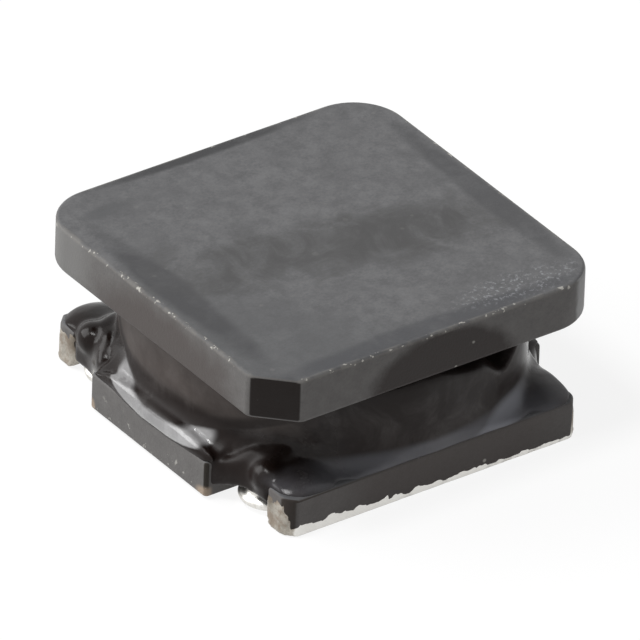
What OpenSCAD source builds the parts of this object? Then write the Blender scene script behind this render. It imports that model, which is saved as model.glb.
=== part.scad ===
// Shielded drum-core power inductor for surface mounting.
// +Z is up, the board plane is z = 0 and the post stands on the Z axis.
// Both wire ends leave the coil towards -X and run back under the part along +X.

/* [Drum core] */
// Side of the two square flanges
flange_size = 6.0; // [5.2:0.1:8]
// Leg of the 45 degree cut on each flange corner
corner_cut = 0.57; // [0.45:0.01:0.8]
// Thickness of the upper flange
top_flange_t = 0.74; // [0.5:0.02:1.2]
// Thickness of the lower flange
bottom_flange_t = 0.60; // [0.5:0.02:1.0]
// Clear height between the flanges
winding_gap = 1.30; // [1.1:0.05:2]
// Depth of the winding space, from the flange side in to the round post
winding_depth = 1.4; // [1.3:0.05:1.6]
// Width of the tumbled bevel along the flange edges
edge_bevel = 0.06; // [0.03:0.01:0.1]

/* [Wire notches and grooves] */
// Distance of each wire groove from the flange side beside it
lead_inset = 1.05; // [0.95:0.01:1.2]
// Width of the notch that lets a lead down past the lower flange
notch_w = 0.96; // [0.7:0.02:1.1]
// How far the corner ears stand back from the flange side
ear_setback = 0.40; // [0.3:0.02:0.5]
// Depth of a notch behind the end face of the ears
notch_depth = 0.30; // [0.26:0.02:0.4]
// Radius in the inner corners of a notch
notch_round = 0.12; // [0.05:0.01:0.2]
// Mouth width of the groove under the flange
groove_w = 0.90; // [0.7:0.02:1.1]

/* [Winding] */
// Diameter of the enamelled wire
wire_d = 0.20; // [0.16:0.01:0.22]
// Number of wire layers on the post, even so that both ends leave low down
layers = 4; // [2:2:4]
// Play between neighbouring strands, and between the wire and the core
wire_play = 0.01; // [0.005:0.005:0.02]
// How far the bare wire end in each groove stops short of the far notch
tail_gap = 0.64; // [0.3:0.02:1.5]

/* [Terminals] */
// Thickness of the plated terminal layer
terminal_t = 0.05; // [0.03:0.01:0.06]
// Width of each terminal strip, in from the flange side
terminal_w = 1.35; // [1.2:0.05:1.45]
// Thickness of the plating on the end faces of the ears
cap_t = 0.02; // [0.01:0.005:0.04]
// Height that the plating climbs on the end faces of the ears
cap_h = 0.55; // [0.3:0.05:0.6]
// Height of the plating on the bevelled lower edge of the long sides
lip_h = 0.14; // [0.1:0.01:0.2]
// Depth of the solder surface inside the groove mouth
solder_recess = 0.02; // [0.01:0.005:0.03]

/* [Resin coating] */
// Distance of the coating's waist inside the flange sides
waist_inset = 0.04; // [0.02:0.01:0.15]
// Depth of the meniscus under the upper flange
meniscus = 0.10; // [0.05:0.01:0.15]
// Radius of the fillet down onto the lower flange
fillet_r = 0.34; // [0.2:0.02:0.45]
// Thickness of the coating where the fillet runs out
feather_t = 0.03; // [0.02:0.005:0.05]
// Radius of the dome of resin on each ear beside a lead
dome_r = 0.60; // [0.45:0.01:0.65]
// Height of that dome above the lower flange
dome_h = 0.32; // [0.2:0.01:0.4]
// Thickness of resin around a lead in its notch
bead_t = 0.14; // [0.1:0.01:0.18]
// How far the resin in a notch stays inside the line from the tongue to the ear
notch_fill_inset = 0.05; // [0.03:0.01:0.2]

/* [Hidden] */

// Heights of the stack
z_bottom = terminal_t;
z_seat = z_bottom + bottom_flange_t;
z_roof = z_seat + winding_gap;

// Plan of the lower flange
half = flange_size / 2;
cut_across = sqrt(2) * (flange_size - corner_cut);
ear_x = half - ear_setback;
lead_y = half - lead_inset;
post_d = flange_size - 2 * winding_depth;
tongue_half = lead_y - notch_w / 2;
bend_r = 0.8 * wire_d;
wire_r = wire_d / 2;
notch_x = ear_x - notch_depth;
lead_x = notch_x - 2 * wire_play + bend_r;

// Length of cutters and trimmers that reach past the part, and overlap of fused pieces
reach = 2 * flange_size;
sink = 0.1;

// Groove: a circle through both edges of the mouth and the crown
groove_depth = terminal_t + wire_d + 3 * wire_play;
groove_r = (pow(groove_w / 2, 2) + pow(groove_depth, 2)) / (2 * groove_depth);
groove_z = z_bottom + groove_depth - groove_r;
tail_z = z_bottom + groove_depth - terminal_t - 2 * wire_play - wire_r;
tail_end_x = notch_x - tail_gap;

// Winding: every layer climbs or falls by the same number of turns
strand = wire_d + wire_play;
lead_z = z_seat + 2 * wire_play + wire_r;
low_z = lead_z + strand;
high_z = z_roof - 2 * wire_play - wire_r;
sections_per_turn = 16;
inner_r = (post_d / 2 + 2 * wire_play + wire_r) / cos(180 / sections_per_turn);
outer_r = inner_r + (layers - 1) * strand;
cavity_r = outer_r + wire_r + 2 * wire_play;
step_turns = 0.25;

// Angles at which the straight leads touch the inner and the outer layer
lead_dist = norm([lead_x, lead_y]);
lead_angle = atan2(lead_y, -lead_x);
start_angle = acos(inner_r / lead_dist) - lead_angle;
end_angle = lead_angle - acos(outer_r / lead_dist);
part_turn = (end_angle - start_angle) / 360 - floor((end_angle - start_angle) / 360);
most_turns = layers * ((high_z - low_z) / strand + step_turns);
whole_turns = floor(most_turns - part_turn);
layer_turns = (whole_turns + part_turn) / layers - step_turns;

// Resin
waist_r = half - waist_inset;
bead_r = wire_r + bead_t;
fill_z = z_bottom + groove_depth + 3 * wire_play;

// ---- Drum core -------------------------------------------------------------

// Endless bar along Y with a bevelled rectangular section standing on z = 0
module bevelled_bar(width, height) {
    w = width / 2;
    b = edge_bevel;
    rotate([90, 0, 0])
        linear_extrude(height = reach, center = true)
            polygon([[-w + b, 0], [w - b, 0], [w, b], [w, height - b],
                     [w - b, height], [-w + b, height], [-w, height - b], [-w, b]]);
}

// Square slab with cut corners and a bevel along all of its edges
module flange_slab(height) {
    intersection() {
        bevelled_bar(flange_size, height);
        rotate(90) bevelled_bar(flange_size, height);
        rotate(45) bevelled_bar(cut_across, height);
        rotate(135) bevelled_bar(cut_across, height);
    }
}

// One lead notch in plan, open towards +X, with rounded inner corners
module notch_plan() {
    r = notch_round;
    translate([notch_x, lead_y]) {
        translate([r, -notch_w / 2]) square([reach, notch_w]);
        translate([0, r - notch_w / 2]) square([reach, notch_w - 2 * r]);
        for (side = [-1, 1])
            translate([r, side * (notch_w / 2 - r)]) circle(r = r, $fn = 32);
    }
}

// What is missing from the flange sides: the set-back past the tongue and the notch
module side_relief_plan() {
    for (mx = [0, 1], my = [0, 1])
        mirror([mx, 0]) mirror([0, my]) {
            translate([ear_x, tongue_half]) square([reach, reach]);
            notch_plan();
        }
}

// Bore of a wire groove or of its lining, along X at one groove
module groove_bore(side, r) {
    translate([0, side * lead_y, groove_z])
        rotate([0, 90, 0])
            cylinder(h = reach, r = r, center = true, $fn = 96);
}

// Bevel that the plating fills along the two long lower edges
module long_edge_bevel() {
    rise = lip_h - z_bottom;
    for (side = [-1, 1])
        translate([0, side * half, z_bottom])
            rotate([90, 0, 90])
                linear_extrude(height = reach, center = true)
                    polygon([[side * half, -half], [side * half, rise], [0, rise],
                             [-side * terminal_t, 0], [-side * terminal_t, -half]]);
}

// Lower flange in plan, its notches filled
module footprint() {
    difference() {
        intersection() {
            square(flange_size, center = true);
            rotate(45) square(cut_across, center = true);
        }
        for (mx = [0, 1], my = [0, 1])
            mirror([mx, 0]) mirror([0, my])
                translate([ear_x, tongue_half]) square([reach, reach]);
    }
}

module bottom_flange() {
    difference() {
        translate([0, 0, z_bottom]) flange_slab(bottom_flange_t);
        linear_extrude(height = reach, center = true) side_relief_plan();
        for (side = [-1, 1]) groove_bore(side, groove_r);
        long_edge_bevel();
    }
}

module drum_core() {
    color([0.27, 0.27, 0.28]) {
        bottom_flange();
        translate([0, 0, z_seat - sink])
            cylinder(h = winding_gap + 2 * sink, d = post_d, $fn = 96);
        translate([0, 0, z_roof]) flange_slab(top_flange_t);
    }
}

// ---- Winding ---------------------------------------------------------------

// Height and radius of the wire after t turns, layer by layer
function layer_of(t) = min(floor(t / (layer_turns + step_turns)), layers - 1);
function in_layer(t) = t - layer_of(t) * (layer_turns + step_turns);
function rise(t) = max(0, in_layer(t) - step_turns) / layer_turns;
function step_in(t) = min(1, in_layer(t) / step_turns);
function coil_r(t) = inner_r + strand * (layer_of(t) == 0 ? 0 : layer_of(t) - 1 + step_in(t));
function climb(t) = layer_of(t) % 2 == 0 ? rise(t) : 1 - rise(t);
function coil_z(t) =
    layer_of(t) == 0 && step_in(t) < 1 ? lead_z + strand * step_in(t)
                                       : low_z + (high_z - low_z) * climb(t);
function coil_point(t) =
    let (a = start_angle + 360 * t)
    [coil_r(t) * cos(a), coil_r(t) * sin(a), coil_z(t)];

// Rounded corner from a to b around the corner point p
function bend(a, p, b, n = 5) =
    [for (i = [0 : n]) let (t = i / n) pow(1 - t, 2) * a + 2 * t * (1 - t) * p + pow(t, 2) * b];
function toward(p, q, distance) = p + distance * (q - p) / norm(q - p);

// Lead from the groove end, up the notch, to the point where it meets the coil
function lead_route(side, meet) =
    let (foot = [-lead_x, side * lead_y, tail_z],
         head = [-lead_x, side * lead_y, lead_z],
         end = [tail_end_x, side * lead_y, tail_z])
    concat([end],
           bend(toward(foot, end, bend_r), foot, toward(foot, head, bend_r)),
           bend(toward(head, foot, bend_r), head, toward(head, meet, bend_r)));
function backwards(list) = [for (i = [len(list) - 1 : -1 : 0]) list[i]];

turns = whole_turns + part_turn;
coil_start = coil_point(0);
coil_end = coil_point(turns);
coil_steps = floor(turns * sections_per_turn - 0.3);
coil_path = [for (i = [0 : coil_steps]) coil_point(i / sections_per_turn)];
wire_path = concat(lead_route(-1, coil_start), coil_path, [coil_end],
                   backwards(lead_route(1, coil_end)));

function unit(v) = v / norm(v);
function tangents(path) =
    let (last = len(path) - 1)
    [for (i = [0 : last]) unit(path[min(i + 1, last)] - path[max(i - 1, 0)])];
function square_to(v, axis) = unit(v - (v * axis) * axis);

// Round tube along a path, its rings carried on without twist
module tube(path, r, sides) {
    last = len(path) - 1;
    axes = tangents(path);
    normals = [for (i = 0, n = square_to([0, 1, 0], axes[0]); i <= last;
                    i = i + 1, n = square_to(n, axes[min(i, last)])) n];
    points = [for (i = [0 : last], k = [0 : sides - 1])
        let (a = 360 * k / sides)
        path[i] + r * (cos(a) * normals[i] + sin(a) * cross(axes[i], normals[i]))];
    skin = [for (i = [0 : last - 1], k = [0 : sides - 1])
        let (m = (k + 1) % sides, p = i * sides, q = p + sides)
        each [[p + k, q + k, q + m], [p + k, q + m, p + m]]];
    first_cap = [[for (k = [0 : sides - 1]) k]];
    last_cap = [[for (k = [sides - 1 : -1 : 0]) last * sides + k]];
    polyhedron(points, concat(skin, first_cap, last_cap), convexity = 10);
}

module winding() {
    color([0.72, 0.40, 0.20]) tube(wire_path, wire_r, 8);
}

// ---- Resin coating ---------------------------------------------------------

// Half section: meniscus at the top, straight waist, concave fillet to a thin edge
module coating_section() {
    difference() {
        translate([cavity_r, z_seat])
            square([waist_r + fillet_r - cavity_r, winding_gap]);
        translate([waist_r, z_roof]) circle(r = meniscus, $fn = 48);
        translate([waist_r + fillet_r, z_seat + feather_t + fillet_r])
            circle(r = fillet_r, $fn = 96);
        translate([waist_r, z_seat + feather_t + fillet_r]) square([reach, reach]);
    }
}

// Resin in the notches, in plan: its face runs slantwise from the tongue to the ear
module notch_fill_plan() {
    far_y = tongue_half + notch_w;
    for (mx = [0, 1], my = [0, 1])
        mirror([mx, 0]) mirror([0, my])
            polygon([[notch_x, tongue_half], [half - notch_fill_inset, tongue_half],
                     [ear_x - notch_fill_inset, far_y], [notch_x, far_y]]);
}

// Ring round the coil, trimmed to the edges of the lower flange and of the notch fills
module coil_coat() {
    intersection() {
        rotate_extrude($fn = 128) coating_section();
        linear_extrude(height = z_roof) {
            footprint();
            notch_fill_plan();
        }
    }
}

// Dome on an ear beside its lead
module lead_dome(side) {
    intersection() {
        translate([-notch_x + cap_t, side * (lead_y + notch_w / 3), z_seat + dome_h - dome_r])
            sphere(r = dome_r, $fn = 64);
        translate([0, 0, z_seat]) linear_extrude(height = dome_h) footprint();
    }
}

// Bead around the lead where it bends over the edge and goes down its notch
module lead_bead(side) {
    low = fill_z + bead_r;
    high = lead_z - bead_t / 2;
    translate([-lead_x, side * lead_y, 0])
        rotate_extrude($fn = 64)
            intersection() {
                translate([0, fill_z]) square([bead_r, reach]);
                union() {
                    translate([0, low]) circle(r = bead_r, $fn = 64);
                    translate([0, low]) square([bead_r, high - low]);
                    translate([0, high]) circle(r = bead_r, $fn = 64);
                }
            }
}

// Resin that ran down into the notches and stopped above the grooves
module notch_fill() {
    translate([0, 0, fill_z])
        linear_extrude(height = z_seat - fill_z) notch_fill_plan();
}

module wire_channel(side) {
    clear_r = wire_r + 3 * wire_play;
    meet = side < 0 ? coil_start : coil_end;
    head = [-lead_x, side * lead_y, lead_z];
    run = meet - head;
    translate([-lead_x, side * lead_y, 0])
        cylinder(h = lead_z, r = clear_r, $fn = 48);
    translate(head) {
        sphere(r = clear_r + wire_play, $fn = 48);
        rotate([0, acos(run[2] / norm(run)), atan2(run[1], run[0])])
            cylinder(h = norm(run), r = clear_r, $fn = 48);
    }
}

module resin_coating() {
    color([0.10, 0.09, 0.08])
        difference() {
            union() {
                coil_coat();
                notch_fill();
                for (side = [-1, 1]) {
                    lead_dome(side);
                    lead_bead(side);
                }
            }
            bottom_flange();
            translate([0, 0, z_seat - sink])
                cylinder(h = winding_gap + 2 * sink, r = cavity_r, $fn = 128);
            for (side = [-1, 1]) wire_channel(side);
        }
}

// ---- Terminals and solder --------------------------------------------------

// Part of the footprint that is plated: a strip along one long side
module strip_plan(side, width) {
    intersection() {
        translate([-half, side > 0 ? half - width : -half]) square([flange_size, width]);
        difference() {
            footprint();
            side_relief_plan();
        }
    }
}

// Outer skin of one terminal before the flange is taken out of it
module terminal_envelope(side) {
    difference() {
        union() {
            linear_extrude(height = terminal_t) strip_plan(side, terminal_w);
            linear_extrude(height = lip_h) strip_plan(side, terminal_t);
            groove_lining(side);
            for (end = [-1, 1]) ear_cap(side, end);
        }
        groove_bore(side, groove_r - terminal_t);
    }
}

module groove_lining(side) {
    intersection() {
        groove_bore(side, groove_r);
        translate([-notch_x, -reach, 0]) cube([2 * notch_x, 2 * reach, z_seat]);
    }
}

// Plating that climbs the end face of an ear
module ear_cap(side, end) {
    inner_y = lead_y + notch_w / 2;
    outer_y = flange_size - corner_cut - ear_x;
    translate([end * ear_x - cap_t, side > 0 ? inner_y : -outer_y, 0])
        cube([2 * cap_t, outer_y - inner_y, cap_h]);
}

module terminal(side) {
    color([0.78, 0.77, 0.73])
        difference() {
            terminal_envelope(side);
            bottom_flange();
        }
}

module terminal_front() {
    terminal(-1);
}

module terminal_rear() {
    terminal(1);
}

// Solder that fills a lined groove around the wire end
module solder(side) {
    fill_x = notch_x - 2 * wire_play;
    color([0.66, 0.66, 0.65])
        difference() {
            intersection() {
                groove_bore(side, groove_r - terminal_t);
                translate([-fill_x, -reach, solder_recess]) cube([2 * fill_x, 2 * reach, z_seat]);
            }
            translate([-reach, side * lead_y, tail_z])
                rotate([0, 90, 0])
                    cylinder(h = reach + tail_end_x + wire_play, r = wire_r + wire_play, $fn = 48);
        }
}

module solder_front() {
    solder(-1);
}

module solder_rear() {
    solder(1);
}

drum_core();
winding();
resin_coating();
terminal_front();
terminal_rear();
solder_front();
solder_rear();
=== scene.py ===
"""Shielded power inductor: ferrite drum, poured resin, plated terminals, soldered wire ends."""
import math

import bmesh
import bpy
from mathutils import Matrix, Vector, noise


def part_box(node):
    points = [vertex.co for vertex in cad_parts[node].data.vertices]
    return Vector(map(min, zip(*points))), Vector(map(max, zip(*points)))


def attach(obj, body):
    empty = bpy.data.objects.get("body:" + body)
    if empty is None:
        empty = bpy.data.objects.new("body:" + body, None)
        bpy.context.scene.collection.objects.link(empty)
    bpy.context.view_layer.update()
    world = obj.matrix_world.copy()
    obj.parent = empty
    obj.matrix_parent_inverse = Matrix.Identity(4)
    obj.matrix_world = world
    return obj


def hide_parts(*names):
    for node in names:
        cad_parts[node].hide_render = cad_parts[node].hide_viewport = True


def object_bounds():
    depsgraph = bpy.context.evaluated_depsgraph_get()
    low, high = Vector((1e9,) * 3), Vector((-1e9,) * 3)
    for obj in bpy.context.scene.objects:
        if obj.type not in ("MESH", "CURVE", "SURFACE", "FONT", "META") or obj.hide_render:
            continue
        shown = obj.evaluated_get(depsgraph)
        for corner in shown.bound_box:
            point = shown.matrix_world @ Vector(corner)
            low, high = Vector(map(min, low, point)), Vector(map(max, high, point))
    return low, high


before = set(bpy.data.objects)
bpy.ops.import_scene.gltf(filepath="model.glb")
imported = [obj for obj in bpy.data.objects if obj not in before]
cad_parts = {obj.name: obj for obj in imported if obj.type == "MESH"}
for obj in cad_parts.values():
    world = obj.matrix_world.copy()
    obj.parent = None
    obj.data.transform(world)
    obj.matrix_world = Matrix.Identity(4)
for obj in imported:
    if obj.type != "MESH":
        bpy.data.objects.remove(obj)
cad_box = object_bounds()

MM = 0.001
TINY = 1e-7  # Points nearer than this are the same

# Main dimensions in metres: the box and the roof from the CAD, the others as in the part's source
LOW, HIGH = cad_box
MIDDLE = (LOW + HIGH) / 2
HALF = (HIGH.x - LOW.x) / 2
TOP = HIGH.z
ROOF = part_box("resin_coating")[1][2]  # Underside of the upper flange
SEAT = ROOF - 1.30 * MM  # Upper side of the lower flange
PLATED = 0.05 * MM  # Lower side of the lower flange, above the plating
CUT = 0.57 * MM  # Corner cuts, along each side
EAR_X = HALF - 0.40 * MM  # Ends of the ears, set back from the tongues
NOTCH_X = EAR_X - 0.30 * MM  # Floors of the notches
NOTCH_W = 0.96 * MM
LEAD_Y = HALF - 1.05 * MM  # Middles of the grooves and notches
TONGUE = LEAD_Y - NOTCH_W / 2  # Half the width of the tongues
EAR_Y = LEAD_Y + NOTCH_W / 2  # Inner sides of the ears
GROOVE_R = 0.5016 * MM
GROOVE_Z = PLATED + 0.28 * MM - GROOVE_R
CAVITY = 2.50 * MM  # Radius of the coil's room in the resin


# ---- Camera ------------------------------------------------------------------

AZIMUTH, ELEVATION, ROLL = -36.33, 32.32, 1.93
DISTANCE = 0.3291
SENSOR, FOCAL_LENGTH = 36, 1268.9
SHIFT = (0.0034, -0.0039)
NEAR, FAR = 0.01, 20


def make_camera():
    """Long lens that looks down on the corner between -X and -Y."""
    az, el = math.radians(AZIMUTH), math.radians(ELEVATION)
    back = Vector((math.sin(az) * math.cos(el), -math.cos(az) * math.cos(el), math.sin(el)))
    data = bpy.data.cameras.new("camera")
    data.sensor_width, data.lens = SENSOR, FOCAL_LENGTH
    data.shift_x, data.shift_y = SHIFT
    data.clip_start, data.clip_end = NEAR, FAR
    cam = bpy.data.objects.new("camera", data)
    turn = back.to_track_quat("Z", "Y").to_matrix().to_4x4()
    roll = Matrix.Rotation(math.radians(ROLL), 4, "Z")
    cam.matrix_world = Matrix.Translation(MIDDLE + back * DISTANCE) @ turn @ roll
    bpy.context.collection.objects.link(cam)
    bpy.context.scene.camera = cam


make_camera()


# ---- Mesh helpers ------------------------------------------------------------

def object_of(name, bm, smooth=True):
    """Turns a bmesh into an object at the origin, faces outwards."""
    bmesh.ops.recalc_face_normals(bm, faces=bm.faces)
    for f in bm.faces:
        f.smooth = smooth
    mesh = bpy.data.meshes.new(name)
    bm.to_mesh(mesh)
    bm.free()
    obj = bpy.data.objects.new(name, mesh)
    bpy.context.collection.objects.link(obj)
    return obj


def finished(obj):
    """Applies the object's modifiers to its mesh."""
    graph = bpy.context.evaluated_depsgraph_get()
    obj.data = bpy.data.meshes.new_from_object(obj.evaluated_get(graph))
    obj.modifiers.clear()
    for f in obj.data.polygons:
        f.use_smooth = True


def boolean(obj, other, operation):
    """Cuts or joins another object, which is used up."""
    mod = obj.modifiers.new(operation.lower(), "BOOLEAN")
    mod.object, mod.operation, mod.solver = other, operation, "EXACT"
    finished(obj)
    bpy.data.objects.remove(other)


def relax(bm, verts, factor):
    bmesh.ops.smooth_vert(bm, verts=verts, factor=factor, use_axis_x=True, use_axis_y=True,
                          use_axis_z=True)


def remeshed(obj, voxel, rounds):
    """Melts the object's shapes into one skin and smooths it; returns it as a bmesh."""
    mod = obj.modifiers.new("flow", "REMESH")
    mod.mode, mod.voxel_size, mod.adaptivity = "VOXEL", voxel, 0
    finished(obj)
    bm = bmesh.new()
    bm.from_mesh(obj.data)
    for _ in range(rounds):
        relax(bm, bm.verts, 0.5)
    bm.normal_update()
    return bm


def bevel(bm, edges, width, segments):
    bmesh.ops.bevel(bm, geom=list(edges), affect="EDGES", offset=width, offset_type="OFFSET",
                    segments=segments, profile=0.5, material=-1, clamp_overlap=True)


def upright_edges(bm):
    return [e for e in bm.edges if abs(e.verts[0].co.z - e.verts[1].co.z) > 10 * TINY
            and (e.verts[0].co.xy - e.verts[1].co.xy).length < TINY]


def edges_at(bm, z):
    return [e for e in bm.edges if all(abs(v.co.z - z) < TINY for v in e.verts)]


def only(kind, elements):
    return [e for e in elements if isinstance(e, kind)]


def everything(bm):
    return bm.verts[:] + bm.edges[:] + bm.faces[:]


def prism(bm, outline, way):
    """Closed solid from a flat outline, pushed along a vector."""
    face = bm.faces.new([bm.verts.new(p) for p in outline])
    grown = bmesh.ops.extrude_face_region(bm, geom=[face], use_keep_orig=True)["geom"]
    bmesh.ops.translate(bm, vec=way, verts=only(bmesh.types.BMVert, grown))


def lofted(bm, sections):
    """Closed solid through a row of sections with equal numbers of points."""
    rings = [[bm.verts.new(p) for p in section] for section in sections]
    for a, b in zip(rings, rings[1:]):
        for i in range(len(a)):
            j = (i + 1) % len(a)
            bm.faces.new((a[i], a[j], b[j], b[i]))
    bm.faces.new(rings[0])
    bm.faces.new(rings[-1][::-1])


def ball(bm, centre, radii, segments=48):
    """Ellipsoid; returns its points."""
    made = bmesh.ops.create_uvsphere(bm, u_segments=segments, v_segments=segments // 2, radius=1)
    bmesh.ops.scale(bm, vec=radii, verts=made["verts"])
    bmesh.ops.translate(bm, vec=centre, verts=made["verts"])
    return made["verts"]


def rod(bm, radius, length, place):
    bmesh.ops.create_cone(bm, cap_ends=True, segments=96, radius1=radius, radius2=radius,
                          depth=length, matrix=place)


def along_groove(side):
    """Matrix that lays a rod in the groove on one side."""
    return (Matrix.Translation((0, side * LEAD_Y, GROOVE_Z))
            @ Matrix.Rotation(math.pi / 2, 4, "Y"))


def smooth_step(value, low, high):
    """0 below low and 1 above high, smooth between."""
    t = max(0.0, min(1.0, (value - low) / (high - low)))
    return t * t * (3 - 2 * t)


# ---- Ferrite drum ------------------------------------------------------------

CORNER_ROUND = 0.82 * MM  # Three corners of the upper flange
SIDE_ROUND = 0.07 * MM  # Upright edges of both flanges
TOP_ROUND = 0.06 * MM  # Upper rims of both flanges
ROOF_ROUND = 0.07 * MM
FOOT_ROUND = 0.04 * MM
NOTCH_ROUND = 0.12 * MM
EAR_ROUND = 0.22 * MM  # Lower inner edges of the ears
POST_R = 1.6 * MM
SHARP = 0.5  # Least angle between two faces whose edge is rounded


def upper_flange():
    """Slab with a plain cut on the corner between -X and -Y and three rounded corners."""
    bm = bmesh.new()
    side, thick = 2 * HALF, TOP - ROOF
    bmesh.ops.create_cube(bm, size=1, matrix=Matrix.Translation((0, 0, ROOF + thick / 2))
                          @ Matrix.Diagonal((side, side, thick, 1)))
    bevel(bm, [e for e in upright_edges(bm) if max(e.verts[0].co.xy) < 0], CUT, 1)
    bevel(bm, [e for e in upright_edges(bm) if max(e.verts[0].co.xy) > 0], CORNER_ROUND, 14)
    bevel(bm, [e for e in upright_edges(bm) if e.calc_face_angle(0) > SHARP], SIDE_ROUND, 4)
    bevel(bm, edges_at(bm, TOP), TOP_ROUND, 4)
    bevel(bm, edges_at(bm, ROOF), ROOF_ROUND, 4)
    return object_of("upper_flange", bm)


def lower_flange():
    """Slab with two tongues, four notches and four ears, its edges rounded."""
    quarter = [(HALF, TONGUE), (NOTCH_X, TONGUE), (NOTCH_X, EAR_Y), (EAR_X, EAR_Y),
               (EAR_X, 2 * HALF - CUT - EAR_X), (HALF - CUT, HALF)]
    outline = []
    for sx, sy in ((1, 1), (-1, 1), (-1, -1), (1, -1)):
        outline += [(sx * x, sy * y) for x, y in (quarter if sx * sy > 0 else quarter[::-1])]
    bm = bmesh.new()
    prism(bm, [(x, y, PLATED) for x, y in outline], (0, 0, SEAT - PLATED))
    bmesh.ops.recalc_face_normals(bm, faces=bm.faces)
    bevel(bm, [e for e in upright_edges(bm) if abs(abs(e.verts[0].co.x) - NOTCH_X) < TINY],
          NOTCH_ROUND, 5)
    bevel(bm, [e for e in upright_edges(bm) if e.calc_face_angle(0) > SHARP
               and abs(e.verts[0].co.x) > NOTCH_X + 0.15 * MM], SIDE_ROUND, 4)
    bevel(bm, edges_at(bm, SEAT), TOP_ROUND, 4)
    bevel(bm, edges_at(bm, PLATED), FOOT_ROUND, 2)
    return object_of("lower_flange", bm)


def groove_cutter(side):
    bm = bmesh.new()
    rod(bm, GROOVE_R, 4 * HALF, along_groove(side))
    return object_of("groove", bm)


def ear_cutter():
    """Four bars that round the lower inner edge of each ear."""
    over, start, length = 0.05 * MM, NOTCH_X + 0.02 * MM, 0.4 * MM
    arc = [(EAR_Y + EAR_ROUND * (1 - math.cos(a)), PLATED + EAR_ROUND * (1 - math.sin(a)))
           for a in (math.pi / 16 * i for i in range(9))]
    section = [(EAR_Y - over, PLATED + EAR_ROUND)] + arc
    section += [(EAR_Y + EAR_ROUND, PLATED - over), (EAR_Y - over, PLATED - over)]
    bm = bmesh.new()
    for sx in (-1, 1):
        for sy in (-1, 1):
            prism(bm, [(sx * start, sy * y, z) for y, z in section], (sx * length, 0, 0))
    return object_of("ear_rounding", bm)


def ferrite_drum():
    """Lower flange with its grooves, post and upper flange in one solid."""
    drum = lower_flange()
    drum.name = "ferrite_drum"
    for side in (-1, 1):
        boolean(drum, groove_cutter(side), "DIFFERENCE")
    boolean(drum, ear_cutter(), "DIFFERENCE")
    bm = bmesh.new()
    rod(bm, POST_R, ROOF - SEAT + 0.2 * MM, Matrix.Translation((0, 0, (ROOF + SEAT) / 2)))
    boolean(drum, object_of("post", bm), "UNION")
    boolean(drum, upper_flange(), "UNION")
    mod = drum.modifiers.new("even_normals", "WEIGHTED_NORMAL")
    mod.keep_sharp, mod.weight = True, 60
    return drum


# ---- Terminal plating --------------------------------------------------------

STRIP_THICK = 0.05 * MM
SIDE_THICK = 0.013 * MM
ROOTED = 0.035 * MM  # How far the skin reaches into the ferrite
WORN = 0.012 * MM  # How far it sinks below the surface where it is worn away
PLATING_TOP = 0.62 * MM
INNER_EDGE = 1.4  # Millimetres from the middle to where a terminal's cells begin
CELL, CELL_HEIGHT = 0.05, 0.03  # Millimetres


def ragged(co):
    return noise.fractal(co / (0.16 * MM), 0.6, 2.0, 4)


def plating_height(co):
    """How high above the board plane the plating climbs at a point of the flange's side."""
    on_ear_end = abs(co.x) > EAR_X - 0.02 * MM
    on_long_side = abs(co.y) > HALF - 0.02 * MM
    if on_ear_end:
        return (0.50 + 0.12 * ragged(co)) * MM
    if not on_long_side:
        fall = smooth_step(abs(co.y), HALF - 0.17 * MM, HALF - 0.05 * MM)
        return (0.44 - 0.26 * fall + 0.12 * ragged(co)) * MM
    along = smooth_step(-co.x / MM, -1.5, 2.2)
    return (0.085 + 0.095 * along ** 2 + 0.06 * ragged(co)) * MM


def plated_face(f, side):
    """True for the faces of the drum that one terminal is grown from."""
    c = f.calc_center_median()
    y = side * c.y
    if y < LEAD_Y - 0.46 * MM or c.z > PLATING_TOP:
        return False
    if y > HALF - 0.005 * MM:
        return c.z < 0.34 * MM
    on_ear = y > EAR_Y - 0.01 * MM
    in_groove = abs(math.hypot(y - LEAD_Y, c.z - GROOVE_Z) - GROOVE_R) < 0.01 * MM
    under = c.z < PLATED + 0.045 * MM and y > LEAD_Y + 0.44 * MM
    ear_end = on_ear and abs(c.x) > EAR_X - 0.075 * MM
    corner_cut = abs(c.x) + y > 2 * HALF - CUT - 0.08 * MM
    turned = on_ear and f.normal.z < -0.08 and abs(c.x) > NOTCH_X + 0.03 * MM
    return in_groove or under or ear_end or corner_cut or turned


def cell_cuts(side):
    """Planes, each as a point and a normal, that cut one terminal's side into small cells."""
    cuts = [((i * CELL * MM, 0, 0), (1, 0, 0)) for i in range(-60, 61)]
    cuts += [((0, side * (INNER_EDGE + i * CELL) * MM, 0), (0, 1, 0)) for i in range(1, 33)]
    cuts += [((0, 0, (0.05 + i * CELL_HEIGHT) * MM), (0, 0, 1)) for i in range(1, 19)]
    return cuts


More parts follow.
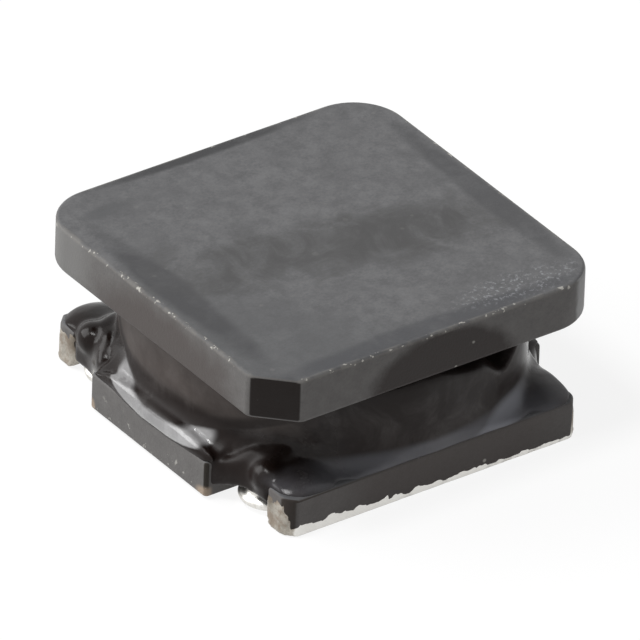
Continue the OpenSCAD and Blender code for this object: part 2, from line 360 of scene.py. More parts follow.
def plating_skin(drum, side):
    """Thin skin grown outwards from the plated faces of the drum, ragged at its upper edge."""
    bm = bmesh.new()
    bm.from_mesh(drum.data)
    bmesh.ops.bisect_plane(bm, geom=everything(bm), plane_co=(0, 0, PLATING_TOP),
                           plane_no=(0, 0, 1), clear_outer=True)
    bmesh.ops.bisect_plane(bm, geom=everything(bm), plane_co=(0, side * INNER_EDGE * MM, 0),
                           plane_no=(0, side, 0), clear_inner=True)
    for place, way in cell_cuts(side):
        bmesh.ops.bisect_plane(bm, geom=everything(bm), dist=TINY, plane_co=place, plane_no=way)
    bmesh.ops.remove_doubles(bm, verts=bm.verts, dist=2 * TINY)
    bm.normal_update()
    bmesh.ops.delete(bm, geom=[f for f in bm.faces if not plated_face(f, side)], context="FACES")
    bmesh.ops.delete(bm, geom=[v for v in bm.verts if not v.link_faces], context="VERTS")
    bm.normal_update()
    roots = {v: (v.co.copy(), v.normal.copy()) for v in bm.verts}
    for v, (co, normal) in roots.items():
        flat = max(0.0, -normal.z) if co.z < PLATED + 0.05 * MM else 0.0
        inside = side * co.y < EAR_Y - 0.005 * MM
        thick = STRIP_THICK if inside else SIDE_THICK + (STRIP_THICK - SIDE_THICK) * flat
        shown = 1.0 if inside else smooth_step(plating_height(co) - co.z, -0.02 * MM, 0.02 * MM)
        v.co = co + normal * (thick * shown - WORN * (1 - shown))
    relax(bm, [v for v in bm.verts if not v.is_boundary], 0.4)
    root_at = {tuple(v.co): root for v, root in roots.items()}
    grown = bmesh.ops.extrude_face_region(bm, geom=bm.faces[:], use_keep_orig=True)["geom"]
    for v in only(bmesh.types.BMVert, grown):
        co, normal = root_at[tuple(v.co)]
        v.co = co - normal * ROOTED
    return object_of("terminal_plate_front" if side < 0 else "terminal_plate_rear", bm)


# ---- Poured resin ------------------------------------------------------------

SUNK = 0.06 * MM  # How far the resin's shapes start below the seat
WAIST = 2.95 * MM
FILLET = 0.34 * MM
MENISCUS = 0.10 * MM
FEATHER = 0.03 * MM  # Thickness where the fillet ends on the flange
SKIN = 0.015 * MM  # How far the resin stays inside the flange's outline
RESIN_VOXEL, RESIN_ROUNDS = 0.032 * MM, 7
RESIN_RIPPLE, RESIN_WAVE = 0.012, 0.45 * MM  # Height in millimetres, and width

# The ring: how its waist waves, and how much it slims, spreads and climbs at -X
WAIST_WAVE, LEFT_SLIM, LEFT_SPREAD, LEFT_CLIMB = 0.02, 0.15, 0.45, 0.30
SQUARE_RIGHT, SQUARE_LEFT = 0.15, 0.05  # Millimetres added towards the corners

# Ellipsoids: middle and radii; all but the drip have a twin on the other side of y = 0
DOME = (-2.08 * MM, 2.42 * MM, SEAT - 0.18 * MM), (0.64 * MM, 0.74 * MM, 0.36 * MM)
BEAD = (-2.40 * MM, 2.20 * MM, 0.62 * MM), (0.27 * MM, 0.33 * MM, 0.27 * MM)
TAIL = (2.14 * MM, 2.34 * MM, SEAT - 0.10 * MM), (0.60 * MM, 0.74 * MM, 0.27 * MM)
DRIP = (-HALF + 0.09 * MM, -0.12 * MM, 0.70 * MM), (0.14 * MM, 1.42 * MM, 0.19 * MM)

# Unfilled pocket under the upper flange at -Y, in millimetres: the height where its floor
# starts, and the depth, middle and half width of each dip in it
POCKET_DEPTH = 0.42 * MM
POCKET_EDGE = 1.86
POCKET_DIPS = ((0.46, 1.42, 0.36), (0.14, 0.75, 0.42))


def ring_section():
    """Half section of the ring round the coil: cavity, foot, fillet, waist and meniscus."""
    foot, over = WAIST + FILLET, ROOF + 0.02 * MM
    points = [(CAVITY, SEAT - SUNK), (foot, SEAT - SUNK), (foot, SEAT + FEATHER)]
    for i in range(1, 9):
        a = math.pi / 2 * i / 8
        points.append((WAIST + FILLET * (1 - math.sin(a)),
                       SEAT + FEATHER + FILLET * (1 - math.cos(a))))
    for i in range(5):
        a = math.pi / 2 * i / 4
        points.append((WAIST - MENISCUS * math.sin(a), ROOF - MENISCUS * math.cos(a)))
    return points + [(WAIST - MENISCUS, over), (CAVITY, over)]


def keep_on_flange(co):
    """Moves a point inwards to the lower flange's outline, its notches filled."""
    edge = HALF - SKIN
    limit = edge if abs(co.y) < TONGUE else EAR_X - SKIN
    co.x = max(-limit, min(limit, co.x))
    co.y = max(-edge, min(edge, co.y))
    over = abs(co.x) + abs(co.y) - (2 * HALF - CUT - 1.4 * SKIN)
    if over > 0:
        co.x -= math.copysign(over / 2, co.x)
        co.y -= math.copysign(over / 2, co.y)


def coil_ring(bm):
    """Ring spun round the post, a little square at +X, slimmer with a wider fillet at -X."""
    points = [bm.verts.new((x, 0, z)) for x, z in ring_section()]
    edges = [bm.edges.new((a, b)) for a, b in zip(points, points[1:] + points[:1])]
    bmesh.ops.spin(bm, geom=points + edges, axis=(0, 0, 1), cent=(0, 0, 0),
                   steps=256, angle=2 * math.pi, use_merge=True)
    for v in bm.verts:
        r = v.co.xy.length
        if r < CAVITY + TINY:
            continue
        angle = math.atan2(v.co.y, v.co.x)
        left = max(0.0, -math.cos(angle)) ** 3
        square = math.sin(2 * angle) ** 4 * (SQUARE_RIGHT if v.co.x > 0 else SQUARE_LEFT)
        wave = noise.noise(Vector((2.2 * math.cos(angle), 2.2 * math.sin(angle), 4.0)))
        out = max(0.0, r - WAIST)
        r += (WAIST_WAVE * wave - LEFT_SLIM * left + square) * MM + LEFT_SPREAD * left * out
        if out > 0 and v.co.z > SEAT + FEATHER:
            v.co.z += LEFT_CLIMB * left * (v.co.z - SEAT - FEATHER)
        v.co.x, v.co.y = r * math.cos(angle), r * math.sin(angle)
        keep_on_flange(v.co)


def side_ball(bm, shape, side, segments=48):
    """Ellipsoid from its middle and radii, on one side of y = 0; returns its points."""
    (x, y, z), radii = shape
    return ball(bm, (x, side * y, z), radii, segments)


def lie_on_flange(verts):
    for v in verts:
        keep_on_flange(v.co)
        v.co.z = max(v.co.z, SEAT - SUNK)


def ear_resin(bm, side):
    """Dome and bead over the lead at -X, and a thin tail on the ear at +X."""
    lie_on_flange(side_ball(bm, DOME, side))
    side_ball(bm, BEAD, side)
    lie_on_flange(side_ball(bm, TAIL, side))


def notch_section(sx, sy, t):
    """Section of the resin in one notch, from 0 at the tongue to 1 at the ear."""
    y = TONGUE - SUNK + (NOTCH_W + SUNK + 0.02 * MM) * t
    out = HALF - (0.05 + 0.33 * math.sin(math.pi / 2 * min(1, 1.4 * t))) * MM
    low = (0.24 + (0.10 if sy < 0 else -0.06) * smooth_step(t, 0, 0.5)) * MM
    pile = smooth_step(t, 0.02, 0.45) * (1 - 0.55 * smooth_step(t, 0.68, 1.0))
    pile *= (1 if sx < 0 else 0.05) * MM
    section = [(2.0 * MM, low), (out, low), (out, SEAT - 0.12 * MM),
               (out - 0.02 * MM, SEAT - 0.04 * MM + 0.02 * pile),
               (out - 0.08 * MM, SEAT + 0.11 * pile),
               (out - 0.22 * MM, SEAT + 0.26 * pile),
               (2.2 * MM, SEAT + 0.33 * pile), (2.0 * MM, SEAT + 0.37 * pile)]
    return [(sx * x, sy * y, z) for x, z in section]


def notch_resin(bm):
    """Resin in the four notches, hollow-faced from tongue to ear; piled up over the leads at -X."""
    for sx in (-1, 1):
        for sy in (-1, 1):
            lofted(bm, [notch_section(sx, sy, i / 16) for i in range(17)])


def pocket_floor(x):
    z = POCKET_EDGE
    for depth, middle, width in POCKET_DIPS:
        z -= depth * math.exp(-((x / MM - middle) / width) ** 2)
    return z * MM


def poured_resin():
    """All of the resin in one skin, with the pocket pushed in and faint ripples."""
    bm = bmesh.new()
    coil_ring(bm)
    notch_resin(bm)
    ball(bm, *DRIP)
    for side in (-1, 1):
        ear_resin(bm, side)
    resin = object_of("poured_resin", bm)
    bm = remeshed(resin, RESIN_VOXEL, RESIN_ROUNDS)
    for v in bm.verts:
        x, y, z = v.co
        if y < -2.0 * MM and v.co.xy.length > CAVITY + 0.1 * MM:
            deep = smooth_step(z - pocket_floor(x), -0.03 * MM, 0.09 * MM)
            deep *= smooth_step(x, 0.1 * MM, 0.5 * MM) * smooth_step(-x, -1.95 * MM, -1.80 * MM)
            v.co.y += POCKET_DEPTH * deep
        v.co += v.normal * noise.noise(v.co / RESIN_WAVE) * RESIN_RIPPLE * MM
    relax(bm, bm.verts, 0.5)
    bm.to_mesh(resin.data)
    bm.free()
    return resin


# ---- Solder ------------------------------------------------------------------

SOLDER_VOXEL, SOLDER_ROUNDS = 0.024 * MM, 3
SOLDER_RIPPLE, SOLDER_WAVE = 0.008, 0.20 * MM  # Height in millimetres, and width
SOLDER_UNDER = 0.02 * MM  # Underside of the solder in the groove
LOWEST = 0.004 * MM
SWELLS = [((-NOTCH_X - 0.02 * MM, LEAD_Y, 0.150 * MM), (0.34 * MM, 0.43 * MM, 0.140 * MM)),
          ((-NOTCH_X - 0.02 * MM, LEAD_Y, 0.28 * MM), (0.25 * MM, 0.20 * MM, 0.14 * MM))]


def solder_mass(side):
    """Solder that fills a lined groove and swells round the wire where it leaves it."""
    bm = bmesh.new()
    rod(bm, GROOVE_R - STRIP_THICK + 0.01 * MM, 2 * (NOTCH_X - 0.01 * MM), along_groove(side))
    cut = bmesh.ops.bisect_plane(bm, geom=everything(bm), plane_co=(0, 0, SOLDER_UNDER),
                                 plane_no=(0, 0, 1), clear_inner=True)
    bmesh.ops.holes_fill(bm, edges=only(bmesh.types.BMEdge, cut["geom_cut"]))
    for swell in SWELLS:
        side_ball(bm, swell, side, 32)
    solder = object_of("solder_mass_front" if side < 0 else "solder_mass_rear", bm)
    bm = remeshed(solder, SOLDER_VOXEL, SOLDER_ROUNDS)
    for v in bm.verts:
        v.co += v.normal * noise.noise(v.co / SOLDER_WAVE) * SOLDER_RIPPLE * MM
        v.co.z = max(v.co.z, LOWEST)
    bm.to_mesh(solder.data)
    bm.free()
    return solder


# ---- Material helpers --------------------------------------------------------

class Graph:
    """Small helper that adds and links nodes in one tree."""

    def __init__(self, tree):
        self.tree = tree

    def add(self, kind, **settings):
        node = self.tree.nodes.new(kind)
        for key, value in settings.items():
            setattr(node, key, value)
        return node

    def link(self, a, b):
        self.tree.links.new(a, b)

    def put(self, socket, value):
        if isinstance(value, bpy.types.NodeSocket):
            self.link(value, socket)
        elif isinstance(value, tuple) and len(value) == 3 and len(socket.default_value) == 4:
            socket.default_value = (*value, 1.0)
        else:
            socket.default_value = value

    def math(self, operation, *values):
        node = self.add("ShaderNodeMath", operation=operation)
        for socket, value in zip(node.inputs, values):
            self.put(socket, value)
        return node.outputs[0]

    def step(self, value, low, high):
        """0 at low and 1 at high, smooth between; low may be above high."""
        node = self.add("ShaderNodeMapRange", interpolation_type="SMOOTHSTEP")
        self.put(node.inputs["Value"], value)
        node.inputs["From Min"].default_value = min(low, high)
        node.inputs["From Max"].default_value = max(low, high)
        node.inputs["To Min"].default_value = 0 if low < high else 1
        node.inputs["To Max"].default_value = 1 if low < high else 0
        return node.outputs["Result"]

    def both(self, *masks):
        """The masks multiplied with each other."""
        out = masks[0]
        for m in masks[1:]:
            out = self.math("MULTIPLY", out, m)
        return out

    def mix(self, mask, a, b):
        node = self.add("ShaderNodeMix", data_type="RGBA")
        self.put(node.inputs[0], mask)
        self.put(node.inputs[6], a)
        self.put(node.inputs[7], b)
        return node.outputs[2]

    def painted(self, base, mask, share, colour):
        """The base with a share of a colour laid on where the mask is 1."""
        return self.mix(self.both(mask, share), base, colour)

    def blend(self, mask, a, b):
        node = self.add("ShaderNodeMix", data_type="FLOAT")
        self.put(node.inputs[0], mask)
        self.put(node.inputs[2], a)
        self.put(node.inputs[3], b)
        return node.outputs[0]

    def noise(self, place, scale, detail=2.0, rough=0.5, distort=0.0):
        node = self.add("ShaderNodeTexNoise")
        self.put(node.inputs["Vector"], place)
        node.inputs["Scale"].default_value = scale
        node.inputs["Detail"].default_value = detail
        node.inputs["Roughness"].default_value = rough
        node.inputs["Distortion"].default_value = distort
        return node.outputs["Fac"]

    def scaled(self, vector, factor):
        node = self.add("ShaderNodeVectorMath", operation="SCALE")
        self.put(node.inputs[0], vector)
        self.put(node.inputs["Scale"], factor)
        return node.outputs[0]

    def parts(self, vector):
        node = self.add("ShaderNodeSeparateXYZ")
        self.link(vector, node.inputs[0])
        return node.outputs

    def millimetres(self):
        """Object coordinates in millimetres, as a vector and its three parts."""
        place = self.scaled(self.add("ShaderNodeTexCoord").outputs["Object"], 1000)
        return (place, *self.parts(place))

    def centred(self, value, size):
        """A 0 to 1 pattern as a push of up to half the size either way."""
        return self.math("MULTIPLY", self.math("SUBTRACT", value, 0.5), size)

    def ellipse(self, u, v, centre, radii, soft, wobble):
        """1 inside a wavy ellipse in the plane of u and v."""
        du = self.math("DIVIDE", self.math("SUBTRACT", u, centre[0]), radii[0])
        dv = self.math("DIVIDE", self.math("SUBTRACT", v, centre[1]), radii[1])
        d = self.math("ADD", self.math("MULTIPLY", du, du), self.math("MULTIPLY", dv, dv))
        d = self.math("ADD", self.math("SQRT", d), wobble)
        return self.step(d, 1 + soft, 1 - soft)


def new_group(name, inputs, outputs):
    tree = bpy.data.node_groups.new(name, "ShaderNodeTree")
    for title, kind, value in inputs:
        socket = tree.interface.new_socket(title, in_out="INPUT", socket_type=kind)
        if value is not None:
            socket.default_value = value
    for title, kind in outputs:
        tree.interface.new_socket(title, in_out="OUTPUT", socket_type=kind)
    g = Graph(tree)
    start = g.add("NodeGroupInput")
    end = g.add("NodeGroupOutput")
    return tree, g, start.outputs, end.inputs


def new_material(name):
    mat = bpy.data.materials.new(name)
    mat.use_nodes = True
    mat.node_tree.nodes.clear()
    g = Graph(mat.node_tree)
    shader = g.add("ShaderNodeBsdfPrincipled")
    g.link(shader.outputs[0], g.add("ShaderNodeOutputMaterial").inputs[0])
    return mat, g, shader.inputs


def bump(g, height, distance, strength):
    node = g.add("ShaderNodeBump")
    g.put(node.inputs["Height"], height)
    node.inputs["Distance"].default_value = distance
    node.inputs["Strength"].default_value = strength
    return node.outputs["Normal"]


# ---- Shared effects ----------------------------------------------------------

def grain_group():
    """Sintered or cast grain: a height, a light and dark mottle and a few bright grains."""
    tree, g, given, out = new_group(
        "fine_grain",
        [("Place", "NodeSocketVector", None), ("Scale", "NodeSocketFloat", 1.0),
         ("Speck Share", "NodeSocketFloat", 0.5)],
        [("Height", "NodeSocketFloat"), ("Mottle", "NodeSocketFloat"),
         ("Specks", "NodeSocketFloat")])
    place = g.scaled(given["Place"], given["Scale"])
    fine = g.noise(place, 24, 3, 0.65)
    broad = g.noise(place, 4.0, 5, 0.65)
    cells = g.add("ShaderNodeTexVoronoi")
    g.link(place, cells.inputs["Vector"])
    cells.inputs["Scale"].default_value = 3.4
    size = g.math("MULTIPLY", g.noise(place, 5.0, 0), 0.20)
    dot = g.step(g.math("SUBTRACT", cells.outputs["Distance"], size), 0.05, -0.02)
    tone = g.parts(cells.outputs["Color"])[0]
    chosen = g.step(g.math("SUBTRACT", tone, given["Speck Share"]), 0.0, -0.02)
    g.link(g.both(dot, chosen), out["Specks"])
    g.link(g.blend(0.4, fine, broad), out["Height"])
    g.link(g.step(g.blend(0.6, fine, broad), 0.30, 0.70), out["Mottle"])
    return tree


GRAIN = grain_group()


def grain_at(g, place, scale, specks=0.5):
    """The grain's outputs at a place in millimetres, with a share of bright cells."""
    node = g.add("ShaderNodeGroup", node_tree=GRAIN)
    for title, value in (("Place", place), ("Scale", scale), ("Speck Share", specks)):
        g.put(node.inputs[title], value)
    return node.outputs


# ---- Materials ---------------------------------------------------------------

FERRITE_BUMP, RESIN_BUMP = 0.014 * MM, 0.035 * MM

# Painted shade of the slightly sloped band inside each edge of the top: middle, radii
# (millimetres), depth and colour
EDGE_SHADE_BANDS = [((-2.60, -0.15), (0.27, 1.85), 0.85, (0.062, 0.062, 0.065)),
         ((0.0, 2.90), (1.80, 0.13), 0.90, (0.050, 0.050, 0.052)),
         ((2.74, -0.20), (0.20, 2.10), 0.70, (0.066, 0.066, 0.069)),
         ((-0.05, -2.80), (2.55, 0.21), 0.66, (0.058, 0.059, 0.065))]


def ferrite_top(g, place, x, y, grain, cloud):
    """Top face: a smoky stain across it, painted shade towards the front corner and along a band
    inside each edge, and dust at one corner.
    """
    smoke = g.noise(place, 0.9, 5, 0.65, 0.8)
    wobble = g.centred(cloud, 0.9)
    skin = g.mix(grain["Mottle"], (0.102, 0.102, 0.105), (0.176, 0.176, 0.179))
    skin = g.painted(skin, g.step(smoke, 0.42, 0.60), 0.35, (0.100, 0.100, 0.103))
    # Painted shade: the top darker towards the front corner
    front_shade = g.step(g.math("ADD", x, y), -1.6, -4.6)
    skin = g.painted(skin, front_shade, 0.45, (0.088, 0.090, 0.093))
    across = g.math("ADD", y, g.math("MULTIPLY", x, 0.19))
    stain = g.ellipse(x, across, (0.2, -0.22), (3.0, 0.62), 0.55, g.centred(cloud, 2.4))
    stained = g.blend(g.step(smoke, 0.35, 0.60), 0.35, 0.85)
    skin = g.painted(skin, stain, stained, (0.070, 0.069, 0.069))
    spot = g.ellipse(x, y, (-2.15, 2.33), (0.42, 0.16), 0.4, wobble)
    skin = g.painted(skin, spot, 0.5, (0.088, 0.089, 0.092))
    # Painted shade along the sloped band inside each edge
    for centre, radii, depth, tone in EDGE_SHADE_BANDS:
        edge_shade = g.ellipse(x, y, centre, radii, 0.32, g.centred(smoke, 0.9))
        edge_shade = g.both(edge_shade, g.blend(g.step(cloud, 0.34, 0.56), 0.62, 1.0))
        skin = g.painted(skin, edge_shade, depth, tone)
    dusty = g.both(g.ellipse(x, y, (1.75, -2.55), (1.0, 0.30), 0.5, wobble),
                   g.step(g.noise(place, 13, 3, 0.7), 0.52, 0.66))
    return g.painted(skin, dusty, 0.6, (0.36, 0.37, 0.39))


def resin_arch(g, x, y, z, cloud):
    """Mask of the dark arch of resin on the side of the upper flange at -Y."""
    return g.both(g.ellipse(x, z, (0.05, 1.96), (1.28, 0.74), 0.13, g.centred(cloud, 0.35)),
                  g.step(y, -2.88, -2.93))


def ferrite_sides(g, place, x, y, z, grain, cloud, arch):
    """Side faces of both flanges."""
    wobble = g.centred(cloud, 0.9)
    upper, lower = g.step(z, 1.0, 1.2), g.step(z, 1.2, 1.0)
    at_left = g.step(x, -2.88, -2.93)

    # Upper flange: painted light on the end at -X, a brown smear at -X, the arch at -Y; painted
    # shade on the cut corners; a painted highlight on the rounded corner at +X
    side = g.mix(grain["Mottle"], (0.112, 0.107, 0.104), (0.158, 0.152, 0.148))
    # Painted light: the end at -X paler towards +Y
    side = g.painted(side, g.both(at_left, g.step(y, 1.3, 2.0)), 0.7, (0.205, 0.203, 0.198))
    smear = g.both(g.ellipse(y, z, (-0.35, 2.02), (1.70, 0.62), 0.35, wobble), at_left)
    side = g.painted(side, smear, 0.85, (0.078, 0.067, 0.063))
    side = g.painted(side, arch, 0.95, (0.025, 0.019, 0.017))
    nx, ny, _ = g.parts(g.add("ShaderNodeTexCoord").outputs["Normal"])
    turned = g.both(nx, ny, 2.0)
    # Painted shade on the cut corners of both flanges
    low_cut_shade = g.both(g.step(turned, 0.15, 0.60), g.step(x, 0, -1), lower)
    side = g.painted(side, low_cut_shade, 0.92, (0.014, 0.010, 0.006))
    front_cut_shade = g.both(g.step(turned, 0.80, 0.95), g.step(x, 0, -1), upper)
    side = g.painted(side, front_cut_shade, 0.97, (0.006, 0.003, 0.002))
    # Painted highlight on the rounded corner between +X and -Y
    lit_right_corner = g.both(g.step(g.math("ADD", x, g.centred(cloud, 0.3)), 2.44, 2.58),
                   g.step(y, -2.2, -2.6), upper)
    side = g.painted(side, lit_right_corner, 0.8, (0.36, 0.36, 0.36))

    # Lower flange: browner along -Y, pale blotches and two tinned corners on the tongue at -X
    middle = g.step(g.math("ABSOLUTE", g.math("SUBTRACT", x, 0.3)), 2.2, 1.2)
    side = g.painted(side, g.both(lower, g.step(y, -2.4, -2.5)), g.blend(middle, 0.25, 0.60),
                     (0.072, 0.058, 0.054))
    blotch = g.both(g.step(g.noise(place, 6.0, 3, 0.6), 0.62, 0.68), g.step(z, 0.48, 0.25),
                    g.step(x, -2.88, -2.95))
    side = g.painted(side, blotch, 0.75, (0.42, 0.41, 0.38))
    tin = g.ellipse(y, z, (-1.42, 0.10), (0.17, 0.11), 0.4, wobble)
    tin = g.math("MAXIMUM", tin, g.ellipse(y, z, (1.44, 0.12), (0.10, 0.12), 0.4, wobble))
    tin = g.both(tin, g.step(x, -2.85, -2.95))
    return g.painted(side, tin, 0.8, (0.42, 0.33, 0.25))


def ferrite_material():
    mat, g, s = new_material("sintered_ferrite")
    place, x, y, z = g.millimetres()
    up = g.parts(g.add("ShaderNodeTexCoord").outputs["Normal"])[2]
    grain = grain_at(g, place, 1.0, 0.16)
    cloud = g.noise(place, 1.5, 5, 0.62, 0.4)
    arch = resin_arch(g, x, y, z, cloud)
    body = g.mix(g.step(up, 0.55, 0.85), ferrite_sides(g, place, x, y, z, grain, cloud, arch),
                 ferrite_top(g, place, x, y, grain, cloud))

    # Worn rims, chips and bright grains
    reach = g.math("MAXIMUM", g.math("ABSOLUTE", x), g.math("ABSOLUTE", y))
    rim = g.both(g.step(z, 2.625, 2.655), g.step(reach, 2.92, 2.955))
    rubbed = g.step(g.noise(place, 2.6, 5, 0.7), 0.40, 0.60)
    body = g.painted(body, rim, g.blend(rubbed, 0.10, 0.60), (0.190, 0.182, 0.170))
    chips = g.both(rim, g.step(g.noise(place, 11.0, 2, 0.6), 0.61, 0.66))
    grains = g.both(grain["Specks"], g.blend(g.step(up, 0.5, 0.8), 0.85, 0.06))
    body = g.mix(g.math("MAXIMUM", chips, grains), body, (0.47, 0.455, 0.42))
    g.put(s["Base Color"], body)

    rough = g.blend(grain["Mottle"], 0.50, 0.66)
    g.put(s["Roughness"], g.blend(g.both(arch, 0.8), rough, 0.36))
    s["Specular IOR Level"].default_value = 0.18
    g.put(s["Normal"], bump(g, grain["Height"], FERRITE_BUMP, 0.6))
    return mat


def tongue_glint(g, x, y, z, cloud):
    """Mask of the painted highlight along the tongue at -X, and the bowed height that it follows.
    """
    along = g.math("DIVIDE", g.math("ADD", y, 0.15), 1.2)
    bow = g.math("MULTIPLY", g.math("MULTIPLY", along, along), 0.20)
    crest = g.math("SUBTRACT", g.math("ADD", z, g.centred(cloud, 0.08)), bow)
    glint_band = g.both(g.step(crest, 0.57, 0.61), g.step(crest, 0.83, 0.77), g.step(x, -2.60, -2.72),
                  g.step(along, 1.12, 0.98), g.step(along, -0.95, -0.82))
    glint_band = g.both(glint_band, g.blend(g.step(along, 0.8, -0.6), 0.70, 1.0),
                  g.blend(g.step(cloud, 0.35, 0.55), 0.75, 1.0))
    return glint_band, crest


def resin_sheen(g, x, y, z, cloud):
    """Mask of the pale, bluish sheen along the resin's foot at -Y."""
    streak = g.ellipse(x, z, (0.1, 0.72), (2.3, 0.13), 0.5, g.centred(cloud, 0.6))
    slanted = g.math("SUBTRACT", z, g.math("MULTIPLY", x, 0.16))
    patch = g.ellipse(x, slanted, (1.30, 0.53), (0.60, 0.12), 0.6, g.centred(cloud, 0.5))
    return g.both(g.math("MAXIMUM", g.both(streak, 0.45), patch), g.step(y, -2.2, -2.5))


def resin_material():
    mat, g, s = new_material("poured_resin_black")
    place, x, y, z = g.millimetres()
    grain = grain_at(g, place, 0.8, 0.05)
    cloud = g.noise(place, 1.3, 5, 0.62, 0.5)
    shaded_low_left = g.both(g.step(x, -1.3, -2.0), g.step(z, 1.10, 0.92))
    ahead = g.step(x, -1.6, -2.4)
    lit_wall = g.both(g.step(z, 1.05, 1.30), ahead)
    glint_band, crest = tongue_glint(g, x, y, z, cloud)

    # At -X: painted shade low down, a painted reflection that makes the wall paler, painted shade
    # above the painted highlight
    base = g.mix(g.step(cloud, 0.38, 0.66), (0.0095, 0.0055, 0.0045), (0.044, 0.037, 0.035))
    # Painted shade: darker low down at -X, round the notches and leads
    base = g.painted(base, shaded_low_left, 0.85, (0.0075, 0.0038, 0.0028))
    # Painted reflection: the upright wall at -X paler
    base = g.painted(base, lit_wall, g.blend(cloud, 0.3, 0.9), (0.102, 0.086, 0.079))
    shade = g.both(g.step(crest, 0.79, 0.84), g.step(crest, 1.06, 0.92), ahead)
    base = g.painted(base, shade, 0.85, (0.014, 0.010, 0.009))
    # Painted highlight along the tongue at -X, under a clear coat
    base = g.painted(base, glint_band, 0.9, (0.420, 0.416, 0.420))

    # At -Y: painted shadow under the upper flange, the sheen below; painted light on the end
    # towards +X
    # Painted shadow under the upper flange at -Y
    under = g.both(g.step(g.math("ADD", z, g.centred(cloud, 0.6)), 1.35, 1.80),
                   g.step(y, -1.8, -2.3), g.step(x, 1.9, 1.2))
    base = g.painted(base, under, 0.7, (0.0060, 0.0036, 0.0028))
    dust = g.both(g.step(cloud, 0.48, 0.70), g.step(grain["Mottle"], 0.35, 0.75))
    base = g.painted(base, dust, 0.30, (0.085, 0.080, 0.078))
    base = g.painted(base, resin_sheen(g, x, y, z, cloud), 0.85, (0.300, 0.307, 0.340))
    lit_end = g.both(g.step(x, 1.90, 2.20),
                     g.step(g.math("ADD", y, g.centred(cloud, 1.2)), -0.7, -1.3),
                     g.step(g.math("ADD", z, g.centred(cloud, 0.8)), 0.95, 1.35))
    base = g.painted(base, lit_end, 0.8, (0.42, 0.42, 0.41))
    base = g.painted(base, grain["Specks"], 0.5, (0.30, 0.29, 0.28))
    g.put(s["Base Color"], base)

    # Glossy where it ran, duller on the wall, along -Y and over the leads
    rough = g.blend(g.step(cloud, 0.35, 0.70), 0.13, 0.30)
    dry = g.math("MAXIMUM", lit_wall,
                 g.both(ahead, g.step(crest, 0.80, 0.86), g.step(crest, 1.3, 1.1)))
    rough = g.blend(g.both(g.step(y, -2.1, -2.4), g.step(x, -1.7, -1.2)), rough, 0.40)
    over_lead = g.both(shaded_low_left, g.step(y, -2.25, -2.05), g.step(y, 0.0, -1.0))
    rough = g.blend(g.both(over_lead, g.math("SUBTRACT", 1.0, glint_band)), rough, 0.42)
    g.put(s["Roughness"], g.blend(dry, rough, 0.55))
    g.put(s["Coat Weight"], glint_band)
    s["Coat Roughness"].default_value = 0.12
    s["Specular IOR Level"].default_value = 0.17
    flow = g.noise(place, 2.2, 2, 0.5)
    g.put(s["Normal"], bump(g, g.blend(0.12, flow, grain["Height"]), RESIN_BUMP, 0.6))
    return mat


def plating_material():
    mat, g, s = new_material("tinned_silver_plating")
    place, _, y, z = g.millimetres()
    grain = grain_at(g, place, 1.6)
    outwards = g.math("ABSOLUTE", y)
    tarnish = g.step(g.noise(place, 3.0, 4, 0.65), 0.43, 0.60)
    silver = g.mix(grain["Mottle"], (0.28, 0.255, 0.215), (0.52, 0.485, 0.425))
    silver = g.painted(silver, tarnish, 0.75, (0.20, 0.145, 0.100))
    shaded = g.both(g.step(outwards, 2.72, 2.50), g.step(z, 0.22, 0.42))
    silver = g.painted(silver, shaded, 0.7, (0.13, 0.105, 0.075))
    clean = g.both(g.step(outwards, 2.95, 2.985), g.step(z, 0.30, 0.20))
    silver = g.painted(silver, clean, 0.85, (0.76, 0.75, 0.72))
    g.put(s["Base Color"], silver)
    g.put(s["Metallic"], g.blend(clean, g.blend(grain["Mottle"], 0.30, 0.60), 0.90))
    g.put(s["Roughness"], g.blend(grain["Mottle"], 0.30, 0.50))
    g.put(s["Normal"], bump(g, grain["Height"], 0.014 * MM, 0.7))
    return mat


def solder_material():
    mat, g, s = new_material("bright_solder")
    place = g.millimetres()[0]
    grain = grain_at(g, place, 1.8)
    g.put(s["Base Color"], g.mix(grain["Mottle"], (0.60, 0.58, 0.54), (0.82, 0.81, 0.78)))
    s["Metallic"].default_value = 1.0
    g.put(s["Roughness"], g.blend(grain["Mottle"], 0.34, 0.50))
    g.put(s["Normal"], bump(g, grain["Height"], 0.008 * MM, 0.4))
    return mat


def copper_material():
    mat, g, s = new_material("enamelled_copper")
    place = g.millimetres()[0]
    grain = grain_at(g, place, 2.0)
    g.put(s["Base Color"], g.mix(grain["Mottle"], (0.42, 0.13, 0.045), (0.62, 0.24, 0.09)))
    s["Metallic"].default_value = 0.9
    g.put(s["Roughness"], g.blend(grain["Mottle"], 0.22, 0.32))
    s["Coat Weight"].default_value = 0.6
    s["Coat Roughness"].default_value = 0.12
    g.put(s["Normal"], bump(g, grain["Height"], 0.004 * MM, 0.4))
    return mat


# ---- Pieces ------------------------------------------------------------------

def dress(obj, material, node):
    """Gives a new piece its finish and puts it in the place of a CAD node."""
    obj.data.materials.clear()
    obj.data.materials.append(material)
    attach(obj, "root")
    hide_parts(node)


def repaint(node, material):
    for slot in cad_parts[node].material_slots:
        slot.material = material


FERRITE = ferrite_material()
RESIN = resin_material()
PLATE = plating_material()
SOLDER = solder_material()
COPPER = copper_material()

drum = ferrite_drum()
for side, end in ((-1, "front"), (1, "rear")):
    dress(plating_skin(drum, side), PLATE, "terminal_" + end)
    dress(solder_mass(side), SOLDER, "solder_" + end)
dress(drum, FERRITE, "drum_core")
dress(poured_resin(), RESIN, "resin_coating")
repaint("winding", COPPER)


# ---- Studio ------------------------------------------------------------------

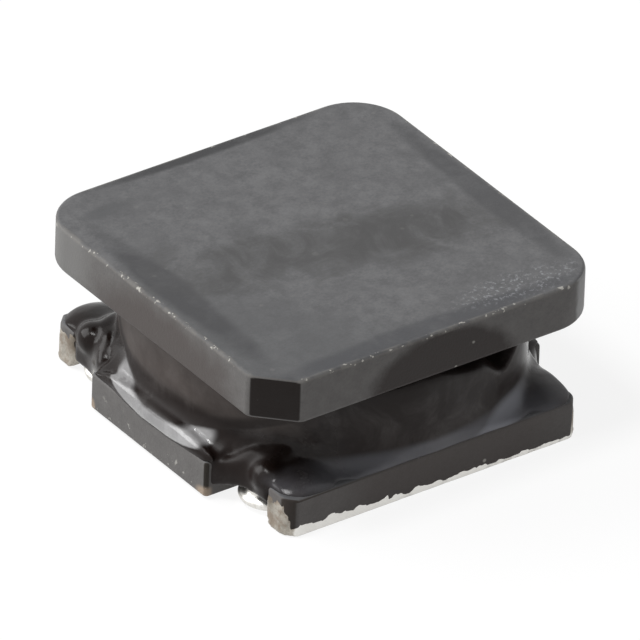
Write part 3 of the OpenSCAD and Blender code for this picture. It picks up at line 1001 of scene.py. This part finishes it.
def seen_rays(g):
    """1 for the rays that show a thing, 0 for those that light one."""
    path = g.add("ShaderNodeLightPath").outputs
    return g.math("MAXIMUM", g.math("MAXIMUM", path["Is Camera Ray"], path["Is Glossy Ray"]),
                  path["Is Transmission Ray"])


FLOOR_SIZE = 1.5
FLOOR_GLOW, GLOW_SHARE = 1.10, 0.78
ROOM_LIGHT, ROOM_SEEN = 0.25, 1.0  # Strength as a light and where it is seen


def make_floor():
    """White card that mostly shows plain white and keeps a soft shadow."""
    bm = bmesh.new()
    bmesh.ops.create_grid(bm, x_segments=4, y_segments=4, size=FLOOR_SIZE)
    floor = object_of("studio_floor", bm, smooth=False)
    if floor.data.polygons[0].normal.z < 0:
        floor.data.flip_normals()
    mat = bpy.data.materials.new("white_card")
    mat.use_nodes = True
    mat.node_tree.nodes.clear()
    g = Graph(mat.node_tree)
    card = g.add("ShaderNodeBsdfDiffuse")
    place = g.add("ShaderNodeTexCoord").outputs["Object"]
    g.put(card.inputs["Color"], g.mix(g.noise(place, 300), (0.73, 0.73, 0.73),
                                      (0.76, 0.76, 0.76)))
    glow = g.add("ShaderNodeEmission")
    glow.inputs["Strength"].default_value = FLOOR_GLOW
    total = g.add("ShaderNodeMixShader")
    g.put(total.inputs[0], g.math("MULTIPLY", seen_rays(g), GLOW_SHARE))
    g.link(card.outputs[0], total.inputs[1])
    g.link(glow.outputs[0], total.inputs[2])
    g.link(total.outputs[0], g.add("ShaderNodeOutputMaterial").inputs[0])
    floor.data.materials.append(mat)


def make_world():
    world = bpy.data.worlds.new("white_room")
    world.use_nodes = True
    bpy.context.scene.world = world
    world.node_tree.nodes.clear()
    g = Graph(world.node_tree)
    back = g.add("ShaderNodeBackground")
    back.inputs["Color"].default_value = (1, 1, 1, 1)
    g.put(back.inputs["Strength"], g.blend(seen_rays(g), ROOM_LIGHT, ROOM_SEEN))
    g.link(back.outputs[0], g.add("ShaderNodeOutputWorld").inputs[0])


def softbox(name, direction, distance, size, radiance):
    """Square lamp that looks at the middle of the part."""
    data = bpy.data.lights.new(name, "AREA")
    data.shape, data.size = "SQUARE", size
    data.energy = math.pi * size * size * radiance
    lamp = bpy.data.objects.new(name, data)
    way = Vector(direction).normalized()
    lamp.matrix_world = (Matrix.Translation(MIDDLE + way * distance)
                         @ way.to_track_quat("Z", "Y").to_matrix().to_4x4())
    bpy.context.collection.objects.link(lamp)


make_floor()
make_world()
softbox("key_overhead", (-0.42, 0.10, 0.90), 0.30, 0.08, 23)
softbox("back_left", (-0.58, 0.66, 0.46), 0.32, 0.22, 4.5)

bpy.context.scene.view_settings.view_transform = "Standard"
